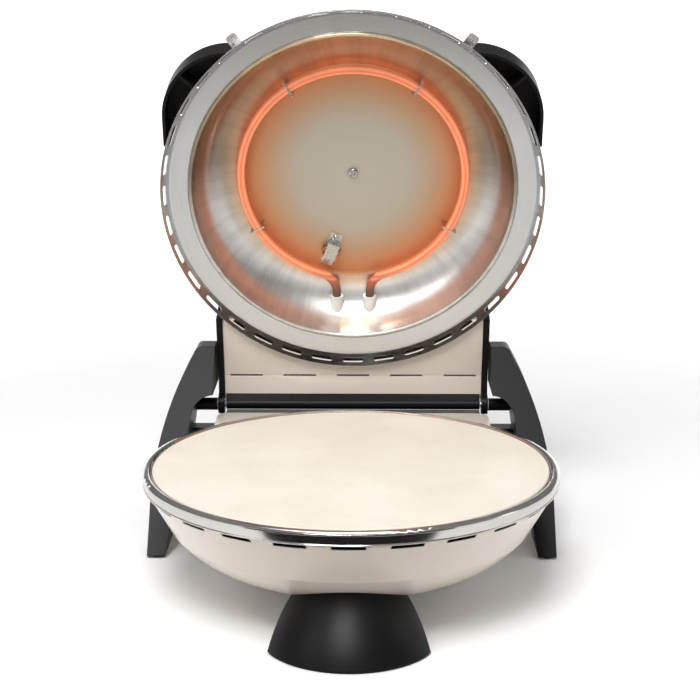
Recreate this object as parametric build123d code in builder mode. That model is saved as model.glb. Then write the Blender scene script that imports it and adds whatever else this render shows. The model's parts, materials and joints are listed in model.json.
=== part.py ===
"""Countertop pizza oven: a clamshell with a stone in the base and heating elements above and below it.

Millimetres, +Z up, front towards -Y.  Pieces are drawn about the stone's centre axis with the lid closed.
At the end the lid's pieces are swung open and everything is centred over the bottom of its bounding box.
"""
import math
import os

from build123d import *

os.makedirs("parts", exist_ok=True)

# Driving dimensions
rim_r = 175.0            # outer radius where lid and base meet
rim_z = 110.0            # height of that joint above the table
bowl_depth = 86.0        # rim to the bowl's underside
lid_depth = 60.0         # rim to the reflector's flat disc
lid_rise = 74.0          # rim to the lid shell's flat top
hinge_y = rim_r + 39.0   # hinge axis behind the stone's centre
hinge_drop = 5.4         # hinge axis below the rim
open_angle = 74.0        # how far the lid stands open
neck_half = rim_r - 51.0   # half width of the lid's sheet neck
leg_spread = rim_r + 8.5   # half width over the two rear legs
leg_h = rim_z + 56.0     # height of the rear legs
front_reach = rim_r + 5.0  # front foot's toe ahead of the stone's centre
stone_t = 12.0
element_d = 8.0
element_r = 0.6 * rim_r  # radius of both heating rings
knob_d = 42.0

# Walls and clearances
sheet = 1.5              # painted steel of bowl and lid
liner = 1.2              # bright steel of pan, reflector and flange
plastic = 2.5
run_gap = 0.6            # between pieces that swing past each other
shaft_fit = 0.05         # radial clearance of a shaft in its hole
lid_gap = 0.5            # closed lid lip above the base ring
stone_gap = 0.7          # stone to the pan's wall

hinge_z = rim_z - hinge_drop
hinge_axis = Axis((0, hinge_y, hinge_z), (1, 0, 0))

base_pieces = []
lid_pieces = []


def keep(pieces, name, part):
    part.label = name
    pieces.append(part)


# ---------------------------------------------------------------- base: bowl, ring, pan, stone
ring_w = 8.5
ring_t = 3.2
ring_in = rim_r - ring_w
band_r = rim_r - 0.8
band_h = 11.6
band_lean = 0.8          # how far the band draws in towards its foot
crease_z = rim_z - band_h
kink_drop = 2.0
kink_in = 3.4
bead_h = 0.7             # half height of the rolled bead at the band's foot
slot_count = 24
slot_l = 26.0
slot_h = 3.8
wall_foot_r = rim_r - 25.0
floor_r = rim_r - 115.0


def bowl_outline(inset):
    """Half section of the bowl's outside, moved inwards by inset."""
    top = rim_z - ring_t
    shoulder = (wall_foot_r + 1 - inset, rim_z - 0.565 * bowl_depth + 0.6 * inset)
    belly = (wall_foot_r - 31 - 0.5 * inset, rim_z - 0.86 * bowl_depth + inset)
    bottom = (floor_r, rim_z - 0.98 * bowl_depth + inset)
    centre = (0, rim_z - bowl_depth + inset)
    Polyline((0, top), (band_r - inset, top), (band_r - band_lean - inset, crease_z),
             (band_r - kink_in - inset, crease_z - kink_drop), shoulder)
    ThreePointArc(shoulder, belly, bottom)
    Polyline(bottom, centre, (0, top))


with BuildPart() as bowl_form:
    with BuildSketch(Plane.XZ):
        with BuildLine():
            bowl_outline(0)
        make_face()
    revolve(axis=Axis.Z)

with BuildPart() as base_bowl:
    add(bowl_form.part)
    with BuildSketch(Plane.XZ):
        with BuildLine():
            bowl_outline(sheet)
        make_face()
    revolve(axis=Axis.Z, mode=Mode.SUBTRACT)
    with Locations((0, 0, crease_z)):
        Cylinder(rim_r, band_h, align=(Align.CENTER, Align.CENTER, Align.MIN), mode=Mode.SUBTRACT)
    with Locations((0, 0, crease_z - slot_h / 2)):
        with PolarLocations(band_r - kink_in / 2, slot_count, start_angle=-90):
            Box(14, slot_l, slot_h, mode=Mode.SUBTRACT)

with BuildPart() as base_rim_ring:
    with BuildSketch(Plane.XZ):
        with BuildLine():
            Polyline((rim_r, rim_z - 2.0), (rim_r, rim_z - ring_t), (band_r, rim_z - ring_t),
                     (band_r - band_lean, crease_z + 2 * bead_h))
            ThreePointArc((band_r - band_lean, crease_z + 2 * bead_h), (band_r, crease_z + bead_h),
                          (band_r - band_lean, crease_z))
            Polyline((band_r - band_lean, crease_z), (band_r - band_lean - sheet, crease_z),
                     (band_r - sheet, rim_z - ring_t), (ring_in, rim_z - ring_t), (ring_in, rim_z - 1.6))
            ThreePointArc((ring_in, rim_z - 1.6), (rim_r - 0.45 * ring_w, rim_z), (rim_r, rim_z - 2.0))
        make_face()
    revolve(axis=Axis.Z)

pan_wall_r = ring_in
ledge_z = rim_z - 0.5 - stone_t
pan_floor_z = rim_z - 0.58 * bowl_depth
pan_floor_r = rim_r - 57.0
ledge_in = pan_wall_r - 9.0


with BuildPart() as pan_form:
    with BuildSketch(Plane.XZ):
        with BuildLine():
            Polyline((0, pan_floor_z), (pan_floor_r, pan_floor_z), (ledge_in - 1, ledge_z - liner),
                     (pan_wall_r + liner, ledge_z - liner), (pan_wall_r + liner, rim_z - ring_t - liner),
                     (band_r - sheet - 0.2, rim_z - ring_t - liner), (band_r - sheet - 0.2, rim_z - ring_t),
                     (pan_wall_r, rim_z - ring_t), (pan_wall_r, ledge_z), (ledge_in - 1, ledge_z),
                     (pan_floor_r - 0.8, pan_floor_z + liner), (0, pan_floor_z + liner), (0, pan_floor_z))
        make_face()
    revolve(axis=Axis.Z)

stone_r = pan_wall_r - stone_gap
with BuildPart() as stone:
    with Locations((0, 0, ledge_z)):
        Cylinder(stone_r, stone_t, align=(Align.CENTER, Align.CENTER, Align.MIN))
    chamfer(stone.edges().group_by(Axis.Z)[-1], 1.0)

# ---------------------------------------------------------------- heating elements
lower_gap = 17.0         # ring above the pan's floor
upper_gap = 10.0         # ring below the reflector's disc
ferrule_x = 16.0
bend_r = 20.0
ferrule_d = 13.0


def element_path(z, end_y):
    """One ring open to the rear, its two ends bent to run back side by side."""
    far = element_r + bend_r
    cx = ferrule_x + bend_r
    cy = math.sqrt(far ** 2 - cx ** 2)
    touch = (cx * element_r / far, cy * element_r / far)
    start = math.degrees(math.atan2(cy, cx))
    turn = math.radians((180 + 180 + start) / 2)
    middle = (cx + bend_r * math.cos(turn), cy + bend_r * math.sin(turn))
    with BuildLine(Plane.XY.offset(z)) as path:
        Line((ferrule_x, end_y), (ferrule_x, cy))
        ThreePointArc((ferrule_x, cy), middle, touch)
        CenterArc((0, 0), element_r, start, -(180 + 2 * start))
        ThreePointArc((-touch[0], touch[1]), (-middle[0], middle[1]), (-ferrule_x, cy))
        Line((-ferrule_x, cy), (-ferrule_x, end_y))
    return path.wire()


def heating_tube(z, end_y):
    route = element_path(z, end_y)
    with BuildPart() as tube:
        with BuildSketch(Plane(origin=route @ 0, z_dir=route % 0)):
            Circle(element_d / 2)
        sweep(path=route)
    return tube.part


def ferrules(z, y0, y1):
    with BuildPart() as pair:
        with BuildSketch(Plane.XZ.offset(-y0)):
            with Locations((ferrule_x, z), (-ferrule_x, z)):
                Circle(ferrule_d / 2)
                Circle(element_d / 2 + shaft_fit, mode=Mode.SUBTRACT)
        extrude(amount=-(y1 - y0))
    return pair.part


def tube_supports(z, plate_z, angles):
    """Thin radial hooks that stand on plate_z and hold the ring at z."""
    stem_w = 5.0
    with BuildPart() as blades:
        with BuildSketch(Plane.XZ):
            with Locations((element_r, z)):
                Rectangle(15, 11)
            with Locations((element_r - 7.5 + stem_w / 2, (z + plate_z) / 2)):
                Rectangle(stem_w, abs(z - plate_z))
            with Locations((element_r, z)):
                Circle(element_d / 2 + shaft_fit, mode=Mode.SUBTRACT)
        extrude(amount=0.8, both=True)
    with BuildPart() as group:
        for angle in angles:
            add(blades.part.rotate(Axis.Z, angle))
    return group.part


lower_z = pan_floor_z + liner + lower_gap
lower_end_y = rim_r - 25.0
pan_rear_y = pan_floor_r + (lower_z - pan_floor_z) * (ledge_in - pan_floor_r) / (ledge_z - pan_floor_z)
lower_tube = heating_tube(lower_z, lower_end_y)
lower_ferrules = ferrules(lower_z, pan_rear_y - 10, pan_rear_y + 8)
lower_supports = tube_supports(lower_z, pan_floor_z + liner, (60, 180, 300))

disc_z = rim_z + lid_depth
upper_z = disc_z - upper_gap
upper_end_y = rim_r - 34.0
upper_ferrule_y = rim_r - 51.0
ferrule_l = 15.0
upper_tube = heating_tube(upper_z, upper_end_y)
upper_ferrules = ferrules(upper_z, upper_ferrule_y, upper_ferrule_y + ferrule_l)
upper_supports = tube_supports(upper_z, disc_z + liner, (-56, -124, 30, 150))


def ferrule_bores(z, y0, y1):
    """The two solids to cut where the ferrules pass through a sheet."""
    with BuildPart() as bores:
        with BuildSketch(Plane.XZ.offset(-y0)):
            with Locations((ferrule_x, z), (-ferrule_x, z)):
                Circle(ferrule_d / 2)
        extrude(amount=-(y1 - y0))
    return bores.part


with BuildPart() as reflector_pan:
    add(pan_form.part)
    add(ferrule_bores(lower_z, pan_rear_y - 12, pan_rear_y + 12), mode=Mode.SUBTRACT)

# ---------------------------------------------------------------- front foot
pad_t = 2.0
foot_corner_y = 38.0 - front_reach
foot_half = 0.35 * front_reach
foot_sag = front_reach + foot_corner_y
foot_plan_r = (foot_half ** 2 + foot_sag ** 2) / (2 * foot_sag)
foot_cy = foot_plan_r - front_reach
foot_h = rim_z - 60.0      # height of the toe's dome
foot_tail_half = 36.0
foot_tail_y = 88.0 - front_reach
foot_wall = 3.5
foot_roof = foot_h - 18.0


def foot_form(inset, bottom):
    """Flared toe with a round front and sides that taper back under the bowl."""
    r0 = foot_plan_r - inset
    wide = foot_half + 27
    ahead = -front_reach - 50
    with BuildPart() as flare:
        with BuildSketch(Plane.XZ.offset(-foot_cy)):
            with BuildLine():
                Line((0, bottom), (r0, bottom))
                ThreePointArc((r0, bottom), (r0 - 18, 0.56 * foot_h), (r0 - 43, foot_h))
                Polyline((r0 - 43, foot_h), (r0 - 44, foot_h + 9), (0, foot_h + 9), (0, bottom))
            make_face()
        revolve(axis=Axis((0, foot_cy, 0), (0, 0, 1)))
        with BuildSketch(Plane.XY):
            with BuildLine():
                Polyline((-wide, ahead), (wide, ahead), (wide, foot_corner_y), (foot_half - inset, foot_corner_y),
                         (foot_tail_half - inset, foot_tail_y - inset), (inset - foot_tail_half, foot_tail_y - inset),
                         (inset - foot_half, foot_corner_y), (-wide, foot_corner_y), (-wide, ahead))
            make_face()
        extrude(amount=foot_h + 12, mode=Mode.INTERSECT)
    return flare.part


foot_solid = foot_form(0, pad_t)
with BuildPart() as foot_core:
    add(foot_form(foot_wall, 0))
    Box(4 * foot_half, 4 * front_reach, 2 * foot_roof, mode=Mode.INTERSECT)

with BuildPart() as front_foot:
    add(foot_solid)
    add(foot_core.part, mode=Mode.SUBTRACT)
    add(bowl_form.part, mode=Mode.SUBTRACT)

with BuildPart() as front_foot_pad:
    add(foot_form(1.5, 0))
    Box(4 * foot_half, 4 * front_reach, 2 * pad_t, mode=Mode.INTERSECT)

# ---------------------------------------------------------------- rear legs and hinge
leg_foot_y = hinge_y - 147.0
leg_top_y = hinge_y - 19.0
leg_rear_y = hinge_y + 12.0
leg_in = neck_half + 7.0      # inner face of the hinge head
leg_foot_in = leg_spread - 16.5
arch_top = rim_z + 16.0  # top of the leg's inner curve
arch_y = (leg_foot_y + leg_rear_y) / 2 + 13.5
arch_half = 27.0         # half width of the arch under each leg
arch_h = 36.0
pin_d = 6.0
boss_d = 12.0
cap_t = 6.0
arm_z0 = hinge_z - 29.0
arm_z1 = hinge_z - 21.0
bridge_half = neck_half - 1.5

with BuildPart() as rear_leg_right:
    with BuildSketch(Plane.XZ.offset(-leg_foot_y)):
        with BuildLine():
            Line((leg_foot_in, pad_t), (leg_spread, pad_t))
            Line((leg_spread, pad_t), (leg_spread, 0.21 * leg_h))
            ThreePointArc((leg_spread, 0.21 * leg_h), (leg_spread - 9, 0.63 * leg_h), (leg_spread - 33, leg_h - 6))
            ThreePointArc((leg_spread - 33, leg_h - 6), (leg_spread - 36, leg_h - 1.6), (leg_spread - 41, leg_h))
            Polyline((leg_spread - 41, leg_h), (leg_in, leg_h), (leg_in, arch_top))
            ThreePointArc((leg_in, arch_top), (leg_in + 13, arch_top - 5), (leg_in + 20, arch_top - 22))
            Line((leg_in + 20, arch_top - 22), (leg_foot_in, pad_t))
        make_face()
    extrude(amount=-(leg_rear_y - leg_foot_y))
    with BuildSketch(Plane.YZ.offset(leg_in - 5)):
        with BuildLine():
            Line((leg_foot_y, pad_t), (arch_y - arch_half, pad_t))
            ThreePointArc((arch_y - arch_half, pad_t), (arch_y, arch_h), (arch_y + arch_half, pad_t))
            Polyline((arch_y + arch_half, pad_t), (leg_rear_y, pad_t), (leg_rear_y, leg_h - 8))
            ThreePointArc((leg_rear_y, leg_h - 8), (leg_rear_y - 2.4, leg_h - 2.4), (leg_rear_y - 8, leg_h))
            Polyline((leg_rear_y - 8, leg_h), (leg_top_y, leg_h), (leg_foot_y, pad_t))
        make_face()
    extrude(amount=80, mode=Mode.INTERSECT)
    with BuildSketch(Plane.YZ.offset(leg_in)):
        with Locations((hinge_y, hinge_z)):
            Circle(boss_d / 2)
    extrude(amount=24)
    with BuildSketch(Plane.YZ.offset(bridge_half)):
        with Locations((hinge_y - 3, (arm_z0 + arm_z1) / 2)):
            Rectangle(18, arm_z1 - arm_z0)
    extrude(amount=leg_in + 30 - bridge_half)
    with BuildSketch(Plane.YZ.offset(leg_in - 1)):
        with Locations((hinge_y, hinge_z)):
            Circle(pin_d / 2)
    extrude(amount=15, mode=Mode.SUBTRACT)

rear_leg_left = mirror(rear_leg_right.part, about=Plane.YZ)

with BuildPart() as rear_leg_pads:
    with BuildSketch(Plane.XY):
        with Locations((leg_spread - 8.2, leg_foot_y + 19), (leg_spread - 8.2, leg_rear_y - 20)):
            SlotOverall(30, 11, rotation=90)
    extrude(amount=pad_t)
    mirror(about=Plane.YZ)

with BuildPart() as hinge_pin_right:
    with BuildSketch(Plane.YZ.offset(bridge_half + run_gap)):
        with Locations((hinge_y, hinge_z)):
            Circle(pin_d / 2)
    extrude(amount=leg_in + 14 - bridge_half - run_gap)
hinge_pin_left = mirror(hinge_pin_right.part, about=Plane.YZ)

with BuildPart() as hinge_washers:
    with BuildSketch(Plane.YZ.offset(neck_half + cap_t + 0.2)):
        with Locations((hinge_y, hinge_z)):
            Circle(boss_d / 2)
            Circle(pin_d / 2, mode=Mode.SUBTRACT)
    extrude(amount=leg_in - neck_half - cap_t - 0.2)
    mirror(about=Plane.YZ)

# ---------------------------------------------------------------- base neck, bridge, wiring parts
gland_x = -0.56 * neck_half
gland_d = 14.0
cord_hole_d = 7.0
neck_front_y = hinge_y - 114.0
neck_rear_y = hinge_y - 16.0
neck_top = rim_z - 10.0
neck_low = rim_z - 38.0
bar_r = 5.0
bridge_top = hinge_z - bar_r - 2.0
gland_z = hinge_z - 20.0

with BuildPart() as base_neck:
    with BuildSketch(Plane.XY.offset(neck_low)):
        with Locations((0, (neck_front_y + neck_rear_y) / 2)):
            RectangleRounded(2 * (neck_half + 5), neck_rear_y - neck_front_y, 12)
    extrude(amount=neck_top - neck_low)
    with BuildSketch(Plane.XY.offset(neck_low + sheet)):
        with Locations((0, (neck_front_y + neck_rear_y) / 2)):
            RectangleRounded(2 * (neck_half + 5 - sheet), neck_rear_y - neck_front_y - 2 * sheet, 12 - sheet)
    extrude(amount=neck_top - neck_low - 2 * sheet, mode=Mode.SUBTRACT)
    add(bowl_form.part, mode=Mode.SUBTRACT)
    add(base_rim_ring.part, mode=Mode.SUBTRACT)



def bridge_outline(inset):
    """Side view of the cross piece between the legs."""
    Polyline((neck_rear_y + inset, neck_low - inset), (leg_rear_y - inset, neck_low - inset),
             (leg_rear_y - inset, bridge_top - 5 - inset), (leg_rear_y - 6 - inset, bridge_top - inset),
             (neck_rear_y + inset, bridge_top - inset), (neck_rear_y + inset, neck_low - inset))


with BuildPart() as rear_bridge:
    with BuildSketch(Plane.YZ.offset(-bridge_half)):
        with BuildLine():
            bridge_outline(0)
        make_face()
    extrude(amount=2 * bridge_half)
    with BuildSketch(Plane.YZ.offset(plastic - bridge_half)):
        with BuildLine():
            bridge_outline(plastic)
        make_face()
    extrude(amount=2 * (bridge_half - plastic), mode=Mode.SUBTRACT)
    with BuildSketch(Plane.XZ.offset(-neck_rear_y)):
        with Locations((gland_x, gland_z)):
            Circle(gland_d / 2)
    extrude(amount=neck_rear_y - leg_rear_y, mode=Mode.SUBTRACT)

with BuildPart() as cord_gland:
    with BuildSketch(Plane.XZ.offset(-(neck_rear_y + 4))):
        with Locations((gland_x, gland_z)):
            Circle(gland_d / 2)
            Circle(cord_hole_d / 2, mode=Mode.SUBTRACT)
    extrude(amount=-(leg_rear_y + 3 - neck_rear_y - 4))
    with BuildSketch(Plane.XZ.offset(-leg_rear_y)):
        with Locations((gland_x, gland_z)):
            Circle(gland_d / 2 + 2.5)
            Circle(cord_hole_d / 2, mode=Mode.SUBTRACT)
    extrude(amount=-3)

block_l = 46.0
block_w = 18.0
block_h = 14.0
block_x = 55.0
block_y = neck_rear_y - sheet - block_w / 2
with BuildPart() as terminal_block:
    with Locations((block_x, block_y, neck_low + sheet)):
        Box(block_l, block_w, block_h, align=(Align.CENTER, Align.CENTER, Align.MIN))
    with Locations((block_x, block_y, neck_low + sheet + block_h)):
        with GridLocations(block_l / 3.3, 0, 3, 1):
            Hole(2.4, depth=9)

with BuildPart() as foot_screws:
    with BuildSketch(Plane.XY.offset(foot_roof)):
        with Locations((-16, 62 - front_reach), (16, 62 - front_reach)):
            Circle(4)
    extrude(amount=-2.5)

with BuildPart() as arm_screws:
    with BuildSketch(Plane.XY.offset(arm_z0)):
        with Locations((leg_in + 6, hinge_y - 3)):
            Circle(3.5)
    extrude(amount=-2)
    mirror(about=Plane.YZ)

# ---------------------------------------------------------------- lid: shell, lip ring, flange, reflector
lip_z = rim_z + lid_gap
flange_out = rim_r - 7.0
flange_in = rim_r - 25.0
flange_z = rim_z + 12.0
flange_slope = 3.0
disc_r = element_r + 2.0
shell_top_r = rim_r - 75.0
lip_t = 1.2
shell_z = flange_z + liner


def dome_outline(inset):
    """Half section of the lid shell's outside, moved inwards by inset; it stands on the flange."""
    low = (flange_out + 1.4 - inset, shell_z)
    flank = (rim_r - 12 - inset, rim_z + 0.405 * lid_rise - 0.3 * inset)
    waist = (rim_r - 22.5 - inset, rim_z + 0.635 * lid_rise - 0.6 * inset)
    shoulder = (rim_r - 43.5 - 0.6 * inset, rim_z + 0.9 * lid_rise - 0.8 * inset)
    edge = (shell_top_r, rim_z + lid_rise - inset)
    Line((0, low[1]), low)
    ThreePointArc(low, flank, waist)
    ThreePointArc(waist, shoulder, edge)
    Polyline(edge, (0, rim_z + lid_rise - inset), (0, low[1]))


with BuildPart() as dome_form:
    with BuildSketch(Plane.XZ):
        with BuildLine():
            dome_outline(0)
        make_face()
    revolve(axis=Axis.Z)

with BuildPart() as lid_shell:
    add(dome_form.part)
    with BuildSketch(Plane.XZ):
        with BuildLine():
            dome_outline(sheet)
        make_face()
    revolve(axis=Axis.Z, mode=Mode.SUBTRACT)

lip_slot_count = 36
lip_slot_l = 20.0
lip_slot_w = 4.6
ring_low = (rim_r - 0.4, lip_z)
ring_high = (flange_out, flange_z)
lip_tilt = math.atan2(ring_low[0] - ring_high[0], ring_high[1] - ring_low[1])
slot_r = ring_low[0] - 0.47 * (ring_low[0] - ring_high[0])
slot_z = ring_low[1] + 0.47 * (ring_high[1] - ring_low[1])


def slot_plane(angle):
    """Plane that lies on the flared ring at this angle, facing the axis."""
    a = math.radians(angle)
    inward = (-math.cos(a) * math.cos(lip_tilt), -math.sin(a) * math.cos(lip_tilt), -math.sin(lip_tilt))
    return Plane(origin=(slot_r * math.cos(a), slot_r * math.sin(a), slot_z),
                 x_dir=(-math.sin(a), math.cos(a), 0), z_dir=inward)


with BuildPart() as lid_lip_ring:
    with BuildSketch(Plane.XZ):
        with BuildLine():
            Polyline((rim_r, lip_z), ring_low, ring_high, (flange_out + lip_t, flange_z),
                     (rim_r - 0.4, lip_z + 2.3), (rim_r, lip_z + 2.3), (rim_r, lip_z))
        make_face()
    revolve(axis=Axis.Z)
    with BuildSketch(*[slot_plane(i * 360 / lip_slot_count) for i in range(lip_slot_count)]):
        SlotOverall(lip_slot_l, lip_slot_w)
    extrude(amount=4, both=True, mode=Mode.SUBTRACT)

with BuildPart() as lid_envelope:
    with BuildSketch(Plane.XZ):
        with BuildLine():
            Polyline((0, lip_z), (rim_r, lip_z), (rim_r, lip_z + 2.3), (flange_out + lip_t, flange_z),
                     (flange_out + lip_t, shell_z + 1), (0, shell_z + 1), (0, lip_z))
        make_face()
    revolve(axis=Axis.Z)
    add(dome_form.part)

with BuildPart() as lid_flange:
    with BuildSketch(Plane.XZ):
        with BuildLine():
            Polyline((flange_out + lip_t, flange_z), (flange_out + lip_t, flange_z + liner),
                     (flange_out - 1.6, flange_z + liner), (flange_in + 1.5, flange_z + flange_slope + liner),
                     (flange_in + 1.5, flange_z + flange_slope), (flange_out - 1.6, flange_z),
                     (flange_out + lip_t, flange_z))
        make_face()
    revolve(axis=Axis.Z)

bead_r = 1.7
wall_mid = (rim_r - 37.5, rim_z + 0.78 * lid_depth)
with BuildPart() as lid_reflector:
    with BuildSketch(Plane.XZ):
        with BuildLine():
            Line((flange_in - bead_r, flange_z + flange_slope), (flange_in - bead_r + liner, flange_z + flange_slope))
            ThreePointArc((flange_in - bead_r + liner, flange_z + flange_slope),
                          (wall_mid[0] + 0.8, wall_mid[1] + 0.9), (disc_r + 1, disc_z + liner))
            Polyline((disc_r + 1, disc_z + liner), (disc_r - 3, disc_z + 2 * liner), (0, disc_z + 2 * liner),
                     (0, disc_z + liner), (disc_r - 3.6, disc_z + liner), (disc_r, disc_z))
            ThreePointArc((disc_r, disc_z), wall_mid, (flange_in - bead_r, flange_z + flange_slope))
        make_face()
        with Locations((flange_in - bead_r / 2, flange_z + flange_slope)):
            Circle(bead_r)
    revolve(axis=Axis.Z)
    add(ferrule_bores(upper_z, upper_ferrule_y - 2, upper_ferrule_y + ferrule_l + 7), mode=Mode.SUBTRACT)


# ---------------------------------------------------------------- lid: neck and its end caps
neck_bottom = rim_z + 5.0
fold_y = hinge_y - 26.0
neck_tail_y = hinge_y - 3.0
neck_slot_l = 0.25 * neck_half
neck_slot_w = 2.0
neck_slot_pitch = 0.415 * neck_half
neck_nose_y = hinge_y - 86.0
ear_r = 9.5


def neck_outline(grow):
    """Side view of the neck box, grown outwards for the end caps or shrunk for its hollow."""
    Polyline((neck_nose_y - grow, neck_bottom - grow), (fold_y, neck_bottom - grow),
             (neck_tail_y - 5, rim_z + 0.8 - grow), (neck_tail_y + grow, rim_z + 1.4 - grow),
             (neck_tail_y + grow, rim_z + 16), (neck_tail_y - 13 + grow, rim_z + 55),
             (neck_tail_y - 22, rim_z + 62 + grow), (neck_nose_y - grow, rim_z + 62 + grow),
             (neck_nose_y - grow, neck_bottom - grow))


with BuildPart() as lid_neck:
    with BuildSketch(Plane.YZ.offset(-neck_half)):
        with BuildLine():
            neck_outline(0)
        make_face()
        with BuildLine():
            neck_outline(-sheet)
        make_face(mode=Mode.SUBTRACT)
    extrude(amount=2 * neck_half)
    with Locations((0, fold_y, neck_bottom)):
        with GridLocations(neck_slot_pitch, 0, 5, 1):
            Box(neck_slot_l, neck_slot_w, 6, mode=Mode.SUBTRACT)
    add(lid_envelope.part, mode=Mode.SUBTRACT)

with BuildPart() as lid_hinge_bar:
    with BuildSketch(Plane.YZ.offset(-bridge_half)):
        with Locations((hinge_y, hinge_z)):
            Circle(bar_r)
        with BuildLine():
            Polyline((hinge_y - bar_r, hinge_z), (neck_tail_y - 5, rim_z + 0.8), (neck_tail_y, rim_z + 1.4),
                     (hinge_y + bar_r, hinge_z), (hinge_y - bar_r, hinge_z))
        make_face()
    extrude(amount=2 * bridge_half)

with BuildPart() as neck_cap_right:
    with BuildSketch(Plane.YZ.offset(neck_half)):
        with BuildLine():
            neck_outline(1.2)
        make_face()
        with Locations((hinge_y, hinge_z)):
            Circle(ear_r)
        with BuildLine():
            Polyline((hinge_y - ear_r, hinge_z), (hinge_y - ear_r, hinge_z + 20), (hinge_y + 2, hinge_z + 20),
                     (hinge_y + ear_r - 1, hinge_z + 4), (hinge_y - ear_r, hinge_z))
        make_face()
        with Locations((hinge_y, hinge_z)):
            Circle(pin_d / 2 + shaft_fit, mode=Mode.SUBTRACT)
    extrude(amount=cap_t)
    add(lid_envelope.part, mode=Mode.SUBTRACT)
neck_cap_left = mirror(neck_cap_right.part, about=Plane.YZ)

# ---------------------------------------------------------------- lid: ear grips
ear_front = 43.0 - rim_r
ear_side = rim_r - 4.0
ear_round = 61.0
ear_z0 = rim_z + 16.0
ear_h = 28.0
ear_wall = 3.0
rib_t = 2.4
ear_end_x = 0.543 * rim_r
ear_end_y = -0.252 * rim_r


def ear_outline(inset):
    """Plan of one grip: a rounded corner that reaches past the lid's circle."""
    corner = (ear_side - ear_round, ear_front + ear_round)
    r = ear_round - inset
    Line((ear_end_x, ear_front + inset), (corner[0], ear_front + inset))
    ThreePointArc((corner[0], ear_front + inset), (corner[0] + r * 0.7071, corner[1] - r * 0.7071),
                  (ear_side - inset, corner[1]))
    Polyline((ear_side - inset, corner[1]), (ear_side - inset, ear_end_y - inset),
             (ear_side - 41, ear_end_y - inset), (ear_end_x, ear_end_y - 36), (ear_end_x, ear_front + inset))


with BuildPart() as ear_grip_right:
    with BuildSketch(Plane.XY.offset(ear_z0)):
        with BuildLine():
            ear_outline(0)
        make_face()
    extrude(amount=ear_h)
    with BuildSketch(Plane.XY.offset(ear_z0)):
        with BuildLine():
            ear_outline(ear_wall)
        make_face()
        with Locations(Location((ear_side - 31, ear_front + 34), -42)):
            Rectangle(120, rib_t, mode=Mode.SUBTRACT)
    extrude(amount=ear_h - ear_wall, mode=Mode.SUBTRACT)
    add(lid_envelope.part, mode=Mode.SUBTRACT)
ear_grip_left = mirror(ear_grip_right.part, about=Plane.YZ)

leaf_r = rim_r - 3.0
leaf_angle = 36.0
with BuildPart() as ear_leaves:
    with BuildSketch(Plane.XY.offset(ear_z0 - 1.2)):
        for side in (-1, 1):
            a = math.radians(-90 + side * leaf_angle)
            with Locations(Location((leaf_r * math.cos(a), leaf_r * math.sin(a)), math.degrees(a))):
                RectangleRounded(22, 10, 3)
    extrude(amount=1.2)
    add(lid_envelope.part, mode=Mode.SUBTRACT)

# ---------------------------------------------------------------- lid: control pod, thermostat, knob
pod_y = -48.0
pod_z = rim_z + lid_rise
pod_h = 20.0
pod_l = 96.0
pod_w = 66.0
pod_round = 22.0
pod_taper = 8.0
spindle_d = 6.0
lamp_d = 8.0
lamp_at = (34.0, pod_y - 12)

with BuildPart() as control_pod:
    with BuildSketch(Plane.XY.offset(pod_z)):
        with Locations((0, pod_y)):
            RectangleRounded(pod_l, pod_w, pod_round)
    extrude(amount=pod_h, taper=pod_taper)
    fillet(control_pod.edges().group_by(Axis.Z)[-1], 3)
    with BuildSketch(Plane.XY.offset(pod_z)):
        with Locations((0, pod_y)):
            RectangleRounded(pod_l - 2 * plastic, pod_w - 2 * plastic, pod_round - plastic)
    extrude(amount=pod_h - plastic, taper=pod_taper, mode=Mode.SUBTRACT)
    with BuildSketch(Plane.XY.offset(pod_z)):
        with Locations((0, pod_y)):
            Circle(spindle_d / 2 + 0.6)
        with Locations(lamp_at):
            Circle(lamp_d / 2)
    extrude(amount=pod_h + 1, mode=Mode.SUBTRACT)

with BuildPart() as thermostat_body:
    with BuildSketch(Plane.XY.offset(pod_z)):
        with Locations((0, pod_y)):
            RectangleRounded(36, 28, 3)
    extrude(amount=pod_h - plastic - 3)
    with BuildSketch(Plane.XY.offset(pod_z + 4)):
        with Locations((0, pod_y)):
            Circle(spindle_d / 2 + shaft_fit)
    extrude(amount=pod_h, mode=Mode.SUBTRACT)

knob_z = pod_z + pod_h + run_gap
knob_h = 15.0
with BuildPart() as thermostat_spindle:
    with BuildSketch(Plane.XY.offset(pod_z + 4.5)):
        with Locations((0, pod_y)):
            Circle(spindle_d / 2)
    extrude(amount=knob_z + 10 - pod_z - 4.5)

with BuildPart() as knob:
    with BuildSketch(Plane.XY.offset(knob_z)):
        with Locations((0, pod_y)):
            Circle(knob_d / 2)
    extrude(amount=5)
    fillet(knob.edges().group_by(Axis.Z)[-1], 1.5)
    with BuildSketch(Plane.XY.offset(knob_z + 4)):
        with Locations((0, pod_y)):
            SlotOverall(knob_d - 5, 12, rotation=90)
    extrude(amount=knob_h - 4, taper=4)
    fillet(knob.edges().group_by(Axis.Z)[-1], 1.5)
    with BuildSketch(Plane.XY.offset(knob_z)):
        with Locations((0, pod_y)):
            Circle(spindle_d / 2)
    extrude(amount=10, mode=Mode.SUBTRACT)

with BuildPart() as pilot_lamp:
    with BuildSketch(Plane.XY.offset(pod_z + pod_h - 9)):
        with Locations(lamp_at):
            Circle(lamp_d / 2)
    extrude(amount=10.5)
    fillet(pilot_lamp.edges().group_by(Axis.Z)[-1], 1.4)

# ---------------------------------------------------------------- lid: bulb clip, bulb, capillary, screws
clip_dir = (-0.34, 0.94)
clip_at = (-21.0, 79.0)
bulb_r = 3.2
bulb_l = 18.0
clip_plane = Plane(origin=(clip_at[0], clip_at[1], disc_z + liner), x_dir=(clip_dir[0], clip_dir[1], 0),
                   z_dir=(-clip_dir[1], clip_dir[0], 0))

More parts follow.
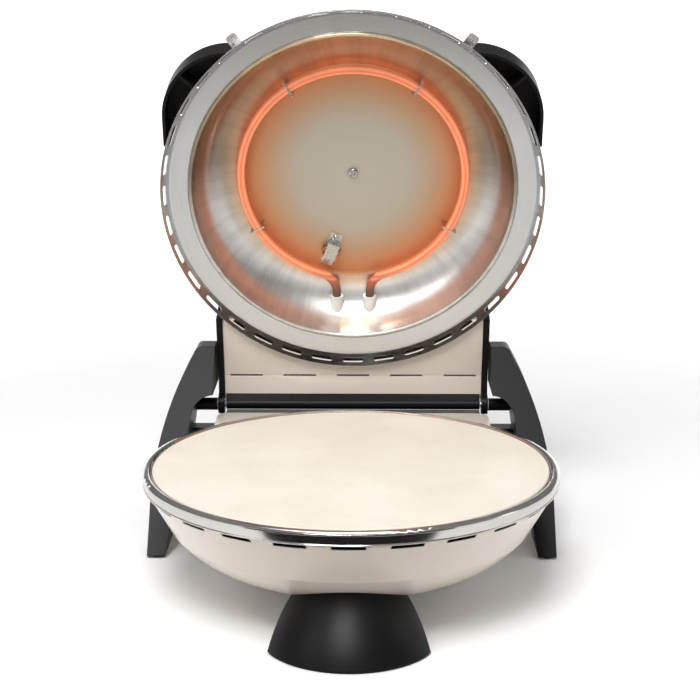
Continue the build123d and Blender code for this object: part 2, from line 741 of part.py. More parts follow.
clip_t = 1.2
clip_foot = 17.0
clip_half = 8.0
clip_h = 9.2
with BuildPart() as bulb_clip:
    with BuildSketch(clip_plane):
        with BuildLine():
            Polyline((-clip_foot, 0), (-clip_foot, clip_t), (-clip_half, clip_t), (-clip_half, clip_h),
                     (clip_half, clip_h), (clip_half, clip_t), (clip_foot, clip_t), (clip_foot, 0),
                     (clip_half - clip_t, 0), (clip_half - clip_t, clip_h - clip_t),
                     (clip_t - clip_half, clip_h - clip_t), (clip_t - clip_half, 0), (-clip_foot, 0))
        make_face()
    extrude(amount=6, both=True)

with BuildPart() as thermostat_bulb:
    with BuildSketch(clip_plane):
        with Locations((0, 4.4)):
            Circle(bulb_r)
    extrude(amount=bulb_l / 2, both=True)

with BuildPart() as clip_screws:
    with BuildSketch(Plane(origin=clip_plane.from_local_coords((0, clip_t, 0)), x_dir=(clip_dir[0], clip_dir[1], 0),
                           z_dir=(0, 0, -1))):
        with Locations((-12.5, 0), (12.5, 0)):
            Circle(2.9)
    extrude(amount=2)
    chamfer(clip_screws.edges().group_by(Axis.Z)[0], 0.6)

with BuildPart() as centre_screw:
    with BuildSketch(Plane.XY.offset(disc_z + liner)):
        Circle(4.6)
    extrude(amount=-2.2)
    chamfer(centre_screw.edges().group_by(Axis.Z)[0], 0.8)

# ---------------------------------------------------------------- names and export
for name, part in (
        ("base_bowl", base_bowl.part), ("base_rim_ring", base_rim_ring.part), ("reflector_pan", reflector_pan.part),
        ("stone", stone.part), ("lower_element", lower_tube), ("lower_element_ferrules", lower_ferrules),
        ("lower_element_supports", lower_supports), ("front_foot", front_foot.part),
        ("front_foot_pad", front_foot_pad.part), ("foot_screws", foot_screws.part),
        ("rear_leg_left", rear_leg_left), ("rear_leg_right", rear_leg_right.part),
        ("rear_leg_pads", rear_leg_pads.part), ("arm_screws", arm_screws.part),
        ("hinge_pin_left", hinge_pin_left), ("hinge_pin_right", hinge_pin_right.part),
        ("hinge_washers", hinge_washers.part), ("base_neck", base_neck.part), ("rear_bridge", rear_bridge.part),
        ("cord_gland", cord_gland.part), ("terminal_block", terminal_block.part)):
    keep(base_pieces, name, part)

for name, part in (
        ("lid_shell", lid_shell.part), ("lid_lip_ring", lid_lip_ring.part), ("lid_flange", lid_flange.part),
        ("lid_reflector", lid_reflector.part), ("upper_element", upper_tube),
        ("upper_element_ferrules", upper_ferrules), ("upper_element_supports", upper_supports),
        ("bulb_clip", bulb_clip.part), ("thermostat_bulb", thermostat_bulb.part), ("clip_screws", clip_screws.part),
        ("centre_screw", centre_screw.part), ("lid_neck", lid_neck.part),
        ("lid_hinge_bar", lid_hinge_bar.part), ("neck_cap_left", neck_cap_left),
        ("neck_cap_right", neck_cap_right.part), ("ear_grip_left", ear_grip_left),
        ("ear_grip_right", ear_grip_right.part), ("ear_leaves", ear_leaves.part),
        ("control_pod", control_pod.part), ("thermostat_body", thermostat_body.part),
        ("pilot_lamp", pilot_lamp.part), ("knob", knob.part), ("thermostat_spindle", thermostat_spindle.part)):
    keep(lid_pieces, name, part.rotate(hinge_axis, -open_angle))

everything = base_pieces + lid_pieces
low_y = min(p.bounding_box().min.Y for p in everything)
high_y = max(p.bounding_box().max.Y for p in everything)
centre_y = (low_y + high_y) / 2
for piece in everything:
    placed = piece.moved(Location((0, -centre_y, 0)))
    placed.label = piece.label
    export_step(placed, f"parts/{piece.label}.step")
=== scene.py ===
"""Looks of the countertop pizza oven: materials for every CAD node, small detail pieces, light and camera."""
import json
import math

import bmesh
import bpy
from mathutils import Matrix, Vector


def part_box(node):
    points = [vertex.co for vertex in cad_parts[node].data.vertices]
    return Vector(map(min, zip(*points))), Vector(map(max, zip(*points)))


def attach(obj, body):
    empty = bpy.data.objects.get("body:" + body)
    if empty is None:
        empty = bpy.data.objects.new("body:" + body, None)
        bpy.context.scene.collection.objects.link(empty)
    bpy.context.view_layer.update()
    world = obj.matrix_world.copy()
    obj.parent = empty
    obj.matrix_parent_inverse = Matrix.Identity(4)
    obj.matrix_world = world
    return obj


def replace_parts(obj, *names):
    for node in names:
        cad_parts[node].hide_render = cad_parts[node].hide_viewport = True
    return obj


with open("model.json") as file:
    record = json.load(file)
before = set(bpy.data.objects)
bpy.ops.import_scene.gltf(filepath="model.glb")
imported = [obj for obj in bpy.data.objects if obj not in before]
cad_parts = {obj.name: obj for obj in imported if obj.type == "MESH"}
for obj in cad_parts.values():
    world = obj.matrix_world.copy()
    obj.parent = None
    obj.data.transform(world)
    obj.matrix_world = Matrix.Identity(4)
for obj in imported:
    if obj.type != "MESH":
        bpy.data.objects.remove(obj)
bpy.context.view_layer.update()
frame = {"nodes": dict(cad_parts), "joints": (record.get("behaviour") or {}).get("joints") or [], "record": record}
NODES = frame["nodes"]
JOINTS = {j["name"]: j for j in frame["joints"]}

# ---------------------------------------------------------------- frame facts
ring_lo, ring_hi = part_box("base_rim_ring")
AXIS_Y = (ring_lo.y + ring_hi.y) / 2
HINGE = Vector(JOINTS["lid_hinge"]["pos_m"])
OPEN = math.radians(-JOINTS["lid_hinge"]["range_deg"][0])
LID_TO_ROW = Matrix.Translation(HINGE) @ Matrix.Rotation(-OPEN, 4, "X")
STONE_FROM_HINGE = AXIS_Y - HINGE.y

# Sizes repeated from the CAD part, in metres.
RIM_Z = 0.110  # joint between lid and base, above the table
DISH_DEPTH = 0.060  # from that joint up to the flat disc of the lid's reflector, lid closed
DISC_R = 0.107  # edge of that disc
TUBE_R, TUBE_HALF = 0.105, 0.004  # upper heating ring: middle of its tube, half the tube's thickness
LID_RISE = 0.074  # from the joint to the lid's flat top, lid closed
POD_Y, POD_HEIGHT = -0.048, 0.020  # control pod on that top


def lid_point(x, y, z):
    """Row-frame place of a point given about the stone's axis with the lid closed (z above the table)."""
    return LID_TO_ROW @ Vector((x, STONE_FROM_HINGE + y, z - HINGE.z))


def lid_dir(x, y, z):
    return (LID_TO_ROW.to_3x3() @ Vector((x, y, z))).normalized()


# ---------------------------------------------------------------- material helpers
MIX_A, MIX_B, MIX_RESULT = 6, 7, 2  # colour sockets of the Mix node, which share their names with others
FINE = 0.0002  # depth of a fine surface grain


def srgb(r, g, b):
    def lin(v):
        v /= 255
        return v / 12.92 if v <= 0.04045 else ((v + 0.055) / 1.055) ** 2.4
    return (lin(r), lin(g), lin(b), 1.0)


class Shade:
    """A material whose nodes are added one at a time."""

    def __init__(self, name):
        self.mat = bpy.data.materials.new(name)
        self.mat.use_nodes = True
        self.tree = self.mat.node_tree
        self.bsdf = self.tree.nodes["Principled BSDF"]
        self.place = self.node("ShaderNodeTexCoord").outputs["Object"]

    def node(self, kind, **settings):
        n = self.tree.nodes.new(kind)
        for key, value in settings.items():
            setattr(n, key, value)
        return n

    def link(self, a, b):
        self.tree.links.new(a, b)

    def put(self, socket, value):
        if isinstance(value, bpy.types.NodeSocket):
            self.link(value, socket)
        else:
            socket.default_value = value

    def set(self, **values):
        for key, value in values.items():
            self.put(self.bsdf.inputs[key.replace("_", " ")], value)

    def maths(self, op, a, b=None):
        n = self.node("ShaderNodeMath", operation=op)
        self.put(n.inputs[0], a)
        if b is not None:
            self.put(n.inputs[1], b)
        return n.outputs[0]

    def vec(self, op, a, b=None):
        n = self.node("ShaderNodeVectorMath", operation=op)
        self.put(n.inputs[0], a)
        if b is not None:
            self.put(n.inputs[1], b)
        return n.outputs["Value" if op in ("DOT_PRODUCT", "LENGTH") else "Vector"]

    def noise(self, scale, detail=3.0, rough=0.55, vector=None):
        n = self.node("ShaderNodeTexNoise")
        n.inputs["Scale"].default_value = scale
        n.inputs["Detail"].default_value = detail
        n.inputs["Roughness"].default_value = rough
        self.link(vector or self.place, n.inputs["Vector"])
        return n.outputs["Fac"]

    def stretch(self, factors):
        return self.vec("MULTIPLY", self.place, factors)

    def ramp(self, value, stops):
        n = self.node("ShaderNodeValToRGB")
        points = n.color_ramp.elements
        while len(points) < len(stops):
            points.new(0.5)
        for p, (at, colour) in zip(points, stops):
            p.position = at
            p.color = colour
        self.link(value, n.inputs["Fac"])
        return n.outputs["Color"]

    def span(self, value, lo, hi, to_lo=0.0, to_hi=1.0, smooth=False):
        n = self.node("ShaderNodeMapRange")
        n.interpolation_type = "SMOOTHSTEP" if smooth else "LINEAR"
        self.link(value, n.inputs["Value"])
        for key, v in (("From Min", lo), ("From Max", hi), ("To Min", to_lo), ("To Max", to_hi)):
            n.inputs[key].default_value = v
        return n.outputs["Result"]

    def mix(self, fac, a, b, blend="MIX"):
        n = self.node("ShaderNodeMix", data_type="RGBA", blend_type=blend)
        self.put(n.inputs["Factor"], fac)
        self.put(n.inputs[MIX_A], a)
        self.put(n.inputs[MIX_B], b)
        return n.outputs[MIX_RESULT]

    def bump(self, height, strength, distance, soften=None):
        n = self.node("ShaderNodeBump")
        n.inputs["Strength"].default_value = strength
        n.inputs["Distance"].default_value = distance
        self.link(height, n.inputs["Height"])
        if soften is not None:
            self.link(soften, n.inputs["Normal"])
        self.link(n.outputs["Normal"], self.bsdf.inputs["Normal"])

    def soft_edges(self, radius):
        n = self.node("ShaderNodeBevel")
        n.inputs["Radius"].default_value = radius
        return n.outputs["Normal"]

    def about(self, centre, x_axis, y_axis, z_axis):
        """Coordinates of the shaded point about centre along three directions."""
        moved = self.vec("SUBTRACT", self.place, tuple(centre))
        return [self.vec("DOT_PRODUCT", moved, tuple(a)) for a in (x_axis, y_axis, z_axis)]

    def radius(self, u, v):
        squares = self.maths("ADD", self.maths("MULTIPLY", u, u), self.maths("MULTIPLY", v, v))
        return self.maths("SQRT", squares)

    def angle(self, u, v):
        return self.maths("ARCTAN2", v, u)

    def scaled(self, *pairs):
        """A vector of up to three (value, factor) products, to read a noise along."""
        n = self.node("ShaderNodeCombineXYZ")
        for socket, (value, factor) in zip(n.inputs, pairs):
            self.link(self.maths("MULTIPLY", value, factor), socket)
        return n.outputs[0]


LID_AXES = (lid_dir(1, 0, 0), lid_dir(0, 1, 0), lid_dir(0, 0, 1))
LID_CENTRE = lid_point(0, 0, RIM_Z)
WORLD_AXES = (Vector((1, 0, 0)), Vector((0, 1, 0)), Vector((0, 0, 1)))


def plain(name, dark, light, scale, rough, rough_to, metallic=0.0, bump=0.15, bump_scale=None, bevel=None,
          **more):
    """Colour and roughness that drift between two values, with a fine surface."""
    s = Shade(name)
    drift = s.noise(scale)
    s.set(Base_Color=s.ramp(drift, ((0.3, dark), (0.7, light))), Metallic=metallic,
          Roughness=s.span(drift, 0.3, 0.7, rough, rough_to), **more)
    s.bump(s.noise(bump_scale or scale * 12, 2.0), bump, FINE, s.soft_edges(bevel) if bevel else None)
    return s.mat


# ---------------------------------------------------------------- materials
def cream():
    """Warm off-white enamel with a thin gloss."""
    s = Shade("cream_enamel")
    drift = s.noise(9.0)
    s.set(Base_Color=s.ramp(drift, ((0.3, srgb(214, 203, 190)), (0.7, srgb(220, 210, 198)))),
          Roughness=s.span(drift, 0.3, 0.7, 0.2, 0.27), Specular_IOR_Level=0.5, Coat_Weight=0.35,
          Coat_Roughness=0.08)
    s.bump(s.noise(140.0, 1.0), 0.05, 0.0004, s.soft_edges(0.0008))
    return s.mat


def polished():
    """Mirror steel with faint upright polishing lines."""
    s = Shade("mirror_steel")
    lines = s.noise(1.0, 2.0, 0.6, s.stretch((60.0, 60.0, 2500.0)))
    s.set(Base_Color=s.ramp(lines, ((0.3, srgb(196, 193, 189)), (0.7, srgb(208, 205, 201)))), Metallic=1.0,
          Roughness=s.span(lines, 0.3, 0.7, 0.08, 0.13))
    s.bump(lines, 0.02, FINE, s.soft_edges(0.0006))
    return s.mat


def lip_steel():
    """Bright pressed band round the lid's mouth, with a painted dark reflection towards the hinge."""
    s = Shade("lip_band_steel")
    _, to_hinge, _ = s.about(LID_CENTRE, *LID_AXES)
    lines = s.noise(1.0, 2.0, 0.6, s.stretch((40.0, 40.0, 400.0)))
    # Painted dark reflection: the band's colour turns dark grey towards the hinge.
    dark_reflection_from, dark_reflection_to = 0.06, 0.17
    painted_dark_reflection = s.span(to_hinge, dark_reflection_from, dark_reflection_to, smooth=True)
    tone = s.mix(painted_dark_reflection, srgb(202, 203, 204), srgb(88, 92, 96))
    s.set(Base_Color=s.mix(s.span(lines, 0.35, 0.65, 0.0, 0.25), tone, srgb(150, 150, 150)), Metallic=1.0,
          Roughness=s.span(lines, 0.3, 0.7, 0.1, 0.18))
    s.bump(lines, 0.03, FINE, s.soft_edges(0.0004))
    return s.mat


def bright():
    """Spun steel with turning lines about the stone's axis."""
    s = Shade("bright_steel_pan")
    u, v, height = s.about((0, AXIS_Y, RIM_Z), *WORLD_AXES)
    lines = s.noise(1.0, 2.0, 0.6, s.scaled((s.radius(u, v), 1500.0), (height, 900.0)))
    s.set(Base_Color=s.ramp(lines, ((0.3, srgb(190, 188, 184)), (0.7, srgb(212, 210, 206)))), Metallic=1.0,
          Roughness=s.span(lines, 0.3, 0.7, 0.22, 0.34))
    s.bump(lines, 0.05, FINE)
    return s.mat


def flange():
    """Satin ring of spun metal with fine turning lines, and a painted shade that darkens it on the side away from
    the hinge.
    """
    s = Shade("satin_flange_metal")
    u, to_hinge, _ = s.about(LID_CENTRE, *LID_AXES)
    lines = s.noise(1.0, 2.0, 0.6, s.scaled((s.radius(u, to_hinge), 2600.0), (s.angle(u, to_hinge), 3.0)))
    grain = s.noise(2400.0, 2.0)
    tone = s.mix(0.35, s.ramp(lines, ((0.3, srgb(212, 213, 214)), (0.7, srgb(226, 227, 228)))),
                 s.ramp(grain, ((0.35, srgb(202, 204, 205)), (0.65, srgb(230, 231, 232)))))
    reach = 0.17  # outer edge of the flange
    # Painted shade: darker grey on the side away from the hinge, near white towards it.
    painted_shade = s.ramp(s.span(to_hinge, -reach, reach),
                   ((0.0, srgb(180, 178, 177)), (0.35, srgb(244, 246, 249)),
                    (0.7, srgb(246, 247, 248)), (1.0, srgb(255, 252, 247))))
    s.set(Base_Color=s.mix(0.85, tone, painted_shade, "MULTIPLY"), Metallic=0.85,
          Roughness=s.span(grain, 0.3, 0.7, 0.36, 0.46))
    s.bump(grain, 0.08, FINE, s.soft_edges(0.0004))
    return s.mat


def reflector():
    """Satin dish, browned by heat near the ring with the ring's glow painted in there too, a painted shade and
    highlight down its wall, and faint drawing marks on its wall only.
    """
    s = Shade("heat_tinted_reflector")
    u, to_hinge, depth = s.about(LID_CENTRE, *LID_AXES)
    radius = s.radius(u, to_hinge)
    swirl = s.scaled((s.angle(u, to_hinge), 14.0), (radius, 12.0), (depth, 12.0))
    streak = s.noise(1.0, 4.0, 0.6, swirl)
    cloud = s.noise(14.0, 3.0)
    wall_from, wall_to = 0.1045, 0.1085  # the disc's colours give way to the wall's
    side_reach = 0.15
    browning_and_glow_width = 0.019  # how far the heat browning and the ring's painted glow climb the wall
    wall = s.span(radius, wall_from, wall_to)
    # Heat browning towards the disc's edge, with the ring's glow partly painted into the same orange.
    disc = s.ramp(s.span(radius, 0.0, DISC_R),
                  ((0.0, srgb(192, 187, 174)), (0.5, srgb(190, 182, 166)), (0.72, srgb(196, 162, 130)),
                   (0.88, srgb(206, 142, 98)), (1.0, srgb(200, 126, 78))))
    # Painted shade and highlight on the wall: pale at the far rim, darker across the middle, near white towards
    # the hinge.
    painted_wall_light = s.ramp(s.span(to_hinge, -side_reach, side_reach),
                   ((0.0, srgb(226, 206, 172)), (0.2, srgb(178, 158, 132)), (0.45, srgb(142, 134, 122)),
                    (0.66, srgb(210, 208, 204)), (1.0, srgb(242, 240, 236))))
    # Heat browning together with the ring's glow painted in as a pale orange just above the disc's edge.
    browning_and_painted_glow = s.span(radius, DISC_R, DISC_R + browning_and_glow_width, 0.75, 0.0, smooth=True)
    painted_wall_light = s.mix(browning_and_painted_glow, painted_wall_light, srgb(232, 186, 146))
    marks = s.maths("MULTIPLY", s.span(streak, 0.42, 0.72, 0.0, 0.22), wall)
    s.set(Base_Color=s.mix(marks, s.mix(wall, disc, painted_wall_light), srgb(104, 92, 82)),
          Metallic=s.span(wall, 0.0, 1.0, 0.55, 0.95),
          Roughness=s.maths("ADD", s.span(wall, 0.0, 1.0, 0.5, 0.3), s.span(cloud, 0.3, 0.7, -0.03, 0.05)))
    s.bump(s.maths("MULTIPLY", streak, wall), 0.06, 0.0005)
    return s.mat


def glowing():
    """Sheath that glows all round the ring and fades where its ends go into the ferrules, with painted highlight
    stripes and painted darker edges across the tube.
    """
    s = Shade("glowing_sheath")
    u, to_hinge, _ = s.about(LID_CENTRE, *LID_AXES)
    cold_from, hot_from = 0.125, 0.09
    hot = s.span(to_hinge, cold_from, hot_from, smooth=True)
    patches = s.noise(38.0, 3.0)
    across = s.span(s.radius(u, to_hinge), TUBE_R - TUBE_HALF, TUBE_R + TUBE_HALF)
    # Painted highlight and shade across the tube: lighter stripes, darker edges.
    painted_tube_light = s.ramp(across,
                   ((0.0, srgb(196, 92, 56)), (0.22, srgb(248, 160, 118)), (0.42, srgb(206, 108, 74)),
                    (0.56, srgb(214, 116, 80)), (0.74, srgb(250, 166, 126)), (1.0, srgb(200, 92, 56))))
    core = s.mix(s.span(patches, 0.3, 0.7, 0.0, 0.3), painted_tube_light, srgb(240, 150, 110))
    s.set(Base_Color=s.mix(hot, srgb(92, 70, 60), s.mix(0.6, srgb(206, 112, 76), painted_tube_light)), Metallic=0.2,
          Roughness=s.span(patches, 0.3, 0.7, 0.42, 0.55), Emission_Color=core,
          Emission_Strength=s.maths("MULTIPLY", hot, s.span(patches, 0.3, 0.7, 0.42, 0.5)))
    s.bump(s.noise(900.0, 2.0), 0.15, FINE)
    return s.mat


def stone():
    """Pale fired stone with pores and darker specks."""
    s = Shade("fired_stone")
    broad = s.noise(14.0, 4.0)
    speck = s.noise(900.0, 2.0, 0.7)
    pores = s.noise(420.0, 3.0, 0.6)
    tone = s.ramp(broad, ((0.3, srgb(216, 208, 194)), (0.7, srgb(227, 220, 208))))
    s.set(Base_Color=s.mix(s.span(speck, 0.6, 0.72, 0.0, 0.35), tone, srgb(168, 156, 138)),
          Roughness=s.span(pores, 0.3, 0.7, 0.78, 0.92), Specular_IOR_Level=0.3)
    s.bump(pores, 0.25, 0.0004)
    return s.mat


def black(name, low, high, rough, bevel=0.0012):
    """Dark moulded plastic with a fine grain."""
    s = Shade(name)
    drift = s.noise(7.0)
    grain = s.noise(1500.0, 2.0, 0.5)
    s.set(Base_Color=s.ramp(drift, ((0.3, low), (0.7, high))),
          Roughness=s.span(grain, 0.3, 0.7, rough, rough + 0.1), Specular_IOR_Level=0.16, Coat_Weight=0.0,
          Coat_Roughness=0.12)
    s.bump(grain, 0.12, FINE, s.soft_edges(bevel))
    return s.mat


PAINTS = {
    "cream_paint": cream(),
    "polished_steel": polished(),
    "bright_steel": bright(),
    "reflector_steel": reflector(),
    "satin_flange": flange(),
    "refractory_stone": stone(),
    "glowing_element": glowing(),
    "element_sheath": plain("oxidised_sheath", srgb(66, 60, 56), srgb(96, 88, 82), 60.0, 0.4, 0.55, 0.9),
    "ceramic": plain("glazed_ceramic", srgb(214, 210, 202), srgb(232, 229, 222), 80.0, 0.25, 0.4,
                     bevel=0.0006),
    "black_plastic": black("black_moulding", srgb(11, 11, 12), srgb(15, 15, 16), 0.34),
    "knob_plastic": black("knob_moulding", srgb(20, 20, 21), srgb(27, 27, 28), 0.28, 0.0008),
    "white_plastic": plain("white_moulding", srgb(206, 206, 202), srgb(220, 220, 216), 40.0, 0.4, 0.5),
    "washer_plastic": plain("washer_moulding", srgb(196, 193, 184), srgb(210, 207, 198), 60.0, 0.35, 0.5),
    "rubber": plain("pad_rubber", srgb(34, 34, 34), srgb(46, 46, 46), 90.0, 0.8, 0.95, bump=0.3,
                    bump_scale=1500),
    "screw_steel": plain("zinc_screws", srgb(168, 167, 163), srgb(200, 199, 196), 300.0, 0.25, 0.4, 1.0,
                         bevel=0.0003),
    "copper": plain("drawn_copper", srgb(176, 116, 82), srgb(206, 146, 108), 120.0, 0.25, 0.42, 1.0),
    "red_lens": plain("red_lens", srgb(150, 20, 12), srgb(182, 32, 20), 200.0, 0.1, 0.18, bump=0.02,
                      Transmission_Weight=0.3),
}

SLOT_OF = {p["node"]: p["material_slot"] for p in frame["record"]["subparts"]}
LIP = lip_steel()
for name, part in NODES.items():
    part.data.materials.clear()
    part.data.materials.append(LIP if name == "lid_lip_ring" else PAINTS[SLOT_OF[name]])


# ---------------------------------------------------------------- mesh helpers
def piece(name, mesh, material, body, smooth=True):
    """Puts a finished bmesh into the scene as a named piece that rides on a body."""
    data = bpy.data.meshes.new(name)
    bmesh.ops.recalc_face_normals(mesh, faces=mesh.faces)
    for face in mesh.faces:
        face.smooth = smooth
    mesh.to_mesh(data)
    mesh.free()
    obj = bpy.data.objects.new(name, data)
    obj.data.materials.append(material)
    bpy.context.scene.collection.objects.link(obj)
    if body:
        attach(obj, body)
    return obj


def frame_at(origin, normal, along):
    """Matrix whose Z is normal and whose X is as near as can be to along."""
    z = Vector(normal).normalized()
    x = (Vector(along) - z * Vector(along).dot(z)).normalized()
    y = z.cross(x)
    m = Matrix((x, y, z)).transposed().to_4x4()
    m.translation = Vector(origin)
    return m


def screw_head(mesh, place, radius, height, slot_l, slot_w, depth, turn):
    """Domed head with a cross recess, as a fine polar grid pressed to shape."""
    rings, spokes = 18, 72
    edge_drop = 0.55  # how much lower the dome is at its edge
    recess_edge, recess_slope = 1.25, 0.35  # in slot sizes: where the recess begins, and how wide its wall is
    around = [(math.cos(2 * math.pi * j / spokes), math.sin(2 * math.pi * j / spokes)) for j in range(spokes)]
    rows = []
    for i in range(rings + 1):
        t = i / rings
        row = []
        for c, s in around:
            x, y = radius * t * c, radius * t * s
            z = height * (1 - edge_drop * t ** 4)
            p, q = x * math.cos(turn) + y * math.sin(turn), y * math.cos(turn) - x * math.sin(turn)
            across = min(max(abs(p) / slot_l, abs(q) / slot_w), max(abs(q) / slot_l, abs(p) / slot_w))
            if across < recess_edge:
                z -= depth * min(1.0, (recess_edge - across) / recess_slope)
            row.append(mesh.verts.new(place @ Vector((x, y, z))))
            if i == 0:
                row = row * spokes
                break
        rows.append(row)
    rows.append([mesh.verts.new(place @ Vector((radius * c, radius * s, 0))) for c, s in around])
    for i in range(len(rows) - 1):
        for j in range(spokes):
            k = (j + 1) % spokes
            quad = [rows[i][j], rows[i + 1][j], rows[i + 1][k], rows[i][k]]
            corners = list(dict.fromkeys(quad))
            if len(corners) > 2:
                mesh.faces.new(corners)


def ring_about(mesh, centre, axes, radius, section, steps=288):
    """Sweeps a closed section of (outwards, up) offsets round an axis."""
    x_axis, y_axis, z_axis = axes
    rows = []
    for i in range(steps):
        a = 2 * math.pi * i / steps
        out = x_axis * math.cos(a) + y_axis * math.sin(a)
        rows.append([mesh.verts.new(centre + out * (radius + p) + z_axis * q) for p, q in section])
    for i in range(steps):
        a, b = rows[i], rows[(i + 1) % steps]
        for j in range(len(section)):
            k = (j + 1) % len(section)
            mesh.faces.new((a[j], a[k], b[k], b[j]))


# ---------------------------------------------------------------- small pieces
INTO_DISH = -LID_AXES[2]
DISC_Z = RIM_Z + DISH_DEPTH
LIFT = 0.0005  # the edge of the centre screw's head stands this far off the disc

mesh = bmesh.new()
centre = frame_at(lid_point(0, 0, DISC_Z - LIFT), INTO_DISH, LID_AXES[0])
screw_head(mesh, centre, radius=0.0046, height=0.0024, slot_l=0.0030, slot_w=0.0008, depth=0.0014, turn=0.5)
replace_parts(piece("centre_screw_head", mesh, PAINTS["screw_steel"], "lid"), "centre_screw")

CLIP_WAY = (-0.34, 0.94)  # along the bulb's clip, on the disc
CLIP_AT = (-0.021, 0.079)  # its middle, from the disc's centre
CLIP_HOLE = 0.0125  # from there to each screw
mesh = bmesh.new()
for step in (-CLIP_HOLE, CLIP_HOLE):
    at = lid_point(CLIP_AT[0] + CLIP_WAY[0] * step, CLIP_AT[1] + CLIP_WAY[1] * step, DISC_Z)
    screw_head(mesh, frame_at(at, INTO_DISH, LID_AXES[0]), radius=0.0029, height=0.0022, slot_l=0.0019,
               slot_w=0.0006, depth=0.0011, turn=step * 60)
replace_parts(piece("clip_screw_heads", mesh, PAINTS["screw_steel"], "lid"), "clip_screws")

TICKS, FIRST_TICK, TICK_STEP = 11, -135, 27  # number, and degrees
TICK_R = 0.0228  # where they begin, from the knob's axis
TICK_HALF = 0.0004  # half their width
TICK_PROUD, TICK_DEEP = 0.0002, 0.0004  # how far they stand out of the pod's face, and their depth
LONG_TICK, SHORT_TICK = 0.0042, 0.0028
dial = bmesh.new()
pod_face = lid_point(0, POD_Y, RIM_Z + LID_RISE + POD_HEIGHT + TICK_PROUD)
for i in range(TICKS):
    turn = math.radians(FIRST_TICK + TICK_STEP * i)
    out = LID_AXES[0] * math.sin(turn) - LID_AXES[1] * math.cos(turn)
    side = LID_AXES[2].cross(out)
    tip = TICK_R + (LONG_TICK if i % 5 == 0 else SHORT_TICK)
    corners = []
    for a, b in ((TICK_R, -1), (tip, -1), (tip, 1), (TICK_R, 1)):
        corners.append(pod_face + out * a + side * TICK_HALF * b)
    low = [dial.verts.new(c - LID_AXES[2] * TICK_DEEP) for c in corners]
    high = [dial.verts.new(c) for c in corners]
    dial.faces.new(high)
    for k in range(4):
        dial.faces.new((low[k], low[(k + 1) % 4], high[(k + 1) % 4], high[k]))
piece("dial_ticks", dial, PAINTS["white_plastic"], "lid", smooth=False)

BEAD = 0.0005  # radius of the thin bright bead round the dish's mouth
BEAD_Z, BEAD_R = 0.0148, 0.1513  # its height above the joint, and the ring it makes
mesh = bmesh.new()
section = [(BEAD * math.cos(math.radians(45 * k)), BEAD * math.sin(math.radians(45 * k))) for k in range(8)]
ring_about(mesh, lid_point(0, 0, RIM_Z + BEAD_Z), LID_AXES, BEAD_R, section)
piece("flange_bead", mesh, PAINTS["polished_steel"], "lid")


# ---------------------------------------------------------------- stage, light, camera
def stage_sheet(name, points, faces, colour, rough=0.6, far_glow=False):
    """A sheet of the studio. far_glow gives it light of its own away from the object, most at the back."""
    mesh = bmesh.new()
    verts = [mesh.verts.new(p) for p in points]
    for f in faces:
        mesh.faces.new([verts[i] for i in f])
    s = Shade(name + "_paint")
    patches = s.noise(1.2, 2.0)
    lighter = tuple(min(1.0, c * 1.01) for c in colour[:3]) + (1.0,)
    paint = s.ramp(patches, ((0.4, colour), (0.6, lighter)))
    s.set(Base_Color=paint, Roughness=rough, Specular_IOR_Level=0.2)
    if far_glow:
        along = s.node("ShaderNodeSeparateXYZ")
        s.link(s.place, along.inputs[0])
        glow_from, glow_full = 0.6, 1.7
        front, back, front_glow, back_glow = -0.8, 0.8, 0.06, 0.62
        away = s.span(s.vec("LENGTH", s.place), glow_from, glow_full, smooth=True)
        s.set(Emission_Color=paint, Emission_Strength=s.maths(
            "MULTIPLY", away, s.span(along.outputs["Y"], front, back, front_glow, back_glow)))
    piece(name, mesh, s.mat, None)


def studio():
    """Round pale floor that curves up far away, and a dark card in front that the rim's band mirrors.

    The card lies below the photo's view, but other views can show it.
    """
    flat, bend, top, spokes, bend_steps = 3.4, 1.0, 1.3, 72, 10
    profile = [(0.6, 0.0), (1.4, 0.0), (2.4, 0.0), (flat, 0.0)]
    for i in range(1, bend_steps + 1):
        a = math.radians(90 / bend_steps * i)
        profile.append((flat + bend * math.sin(a), bend * (1 - math.cos(a))))
    profile.append((flat + bend, top))
    points = [(0, 0, 0)]
    for r, z in profile:
        points += [(r * math.cos(2 * math.pi * j / spokes), r * math.sin(2 * math.pi * j / spokes), z)
                   for j in range(spokes)]
    faces = [(0, 1 + j, 1 + (j + 1) % spokes) for j in range(spokes)]
    for i in range(len(profile) - 1):
        for j in range(spokes):
            k = (j + 1) % spokes
            a = 1 + i * spokes
            faces.append((a + j, a + spokes + j, a + spokes + k, a + k))
    stage_sheet("studio_floor", points, faces, srgb(246, 246, 246), far_glow=True)
    card_z = 0.002
    outline = ((-0.5, -0.62), (0.5, -0.62), (0.42, -0.41), (0.25, -0.32), (-0.25, -0.32), (-0.42, -0.41))
    card = [(x, y, card_z) for x, y in outline]
    stage_sheet("dark_card", card, [(0, 1, 2, 3, 4, 5)], srgb(14, 13, 12), 0.9)


def lamp(name, place, target, size, power):
    light = bpy.data.lights.new(name, "AREA")
    light.energy = power
    light.size = size
    obj = bpy.data.objects.new(name, light)
    obj.location = place
    obj.rotation_euler = (Vector(target) - Vector(place)).to_track_quat("-Z", "Y").to_euler()
    bpy.context.scene.collection.objects.link(obj)


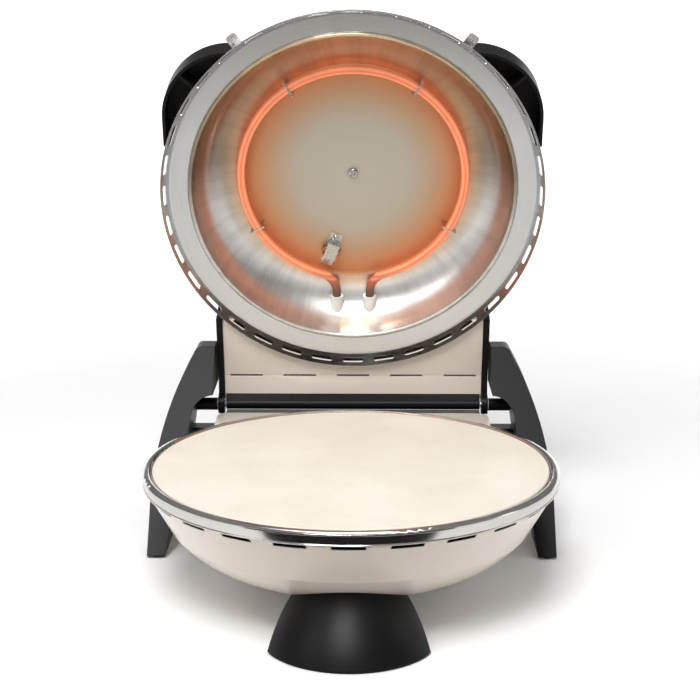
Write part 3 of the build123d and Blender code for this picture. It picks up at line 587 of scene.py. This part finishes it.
def world_light():
    """White sky, greyer from the horizon down so that polished metal has something to mirror."""
    grey_below, white_above = -0.1, 0.7  # as the height of the direction looked in
    strength = 0.26
    world = bpy.data.worlds.new("studio_sky")
    world.use_nodes = True
    tree = world.node_tree
    ground = tree.nodes["Background"]
    coord = tree.nodes.new("ShaderNodeTexCoord")
    split = tree.nodes.new("ShaderNodeSeparateXYZ")
    tree.links.new(coord.outputs["Generated"], split.inputs[0])
    up = tree.nodes.new("ShaderNodeMapRange")
    up.inputs["From Min"].default_value = grey_below
    up.inputs["From Max"].default_value = white_above
    tree.links.new(split.outputs["Z"], up.inputs["Value"])
    ramp = tree.nodes.new("ShaderNodeValToRGB")
    ramp.color_ramp.elements[0].color = (0.4, 0.4, 0.41, 1)
    ramp.color_ramp.elements[1].color = (1, 1, 1, 1)
    tree.links.new(up.outputs["Result"], ramp.inputs["Fac"])
    tree.links.new(ramp.outputs["Color"], ground.inputs["Color"])
    ground.inputs["Strength"].default_value = strength
    bpy.context.scene.world = world


def camera():
    """The photo's viewing angle, fitted to the rim, the lid's circle, the hinge, foot and legs."""
    back, up, right = 1.302, 0.3972, 0.0125  # from the middle of the rim
    down, left = 12.96, 0.58  # degrees the view turns
    data = bpy.data.cameras.new("view_camera")
    data.sensor_width = 36.0
    data.lens = 83.17
    data.clip_start = 0.05
    data.clip_end = 50.0
    obj = bpy.data.objects.new("view_camera", data)
    obj.location = (right, AXIS_Y - back, RIM_Z + up)
    obj.rotation_euler = (math.radians(90 - down), 0.0, math.radians(left))
    bpy.context.scene.collection.objects.link(obj)
    bpy.context.scene.camera = obj


studio()
world_light()
camera()
lamp("top", place=(-0.1, 0.2, 2.3), target=(0, 0, 0.1), size=1.1, power=8)
lamp("front_high", place=(-0.3, -1.6, 2.5), target=(0, 0.05, 0.3), size=1.2, power=64)
lamp("key_left", place=(-1.5, -0.9, 1.5), target=(0, 0, 0.2), size=0.8, power=5)
lamp("rim_right", place=(1.8, 0.2, 1.2), target=(0, 0, 0.2), size=0.8, power=3)

view = bpy.context.scene.view_settings
view.view_transform = "Standard"
view.look = "None"
view.exposure = 0.18
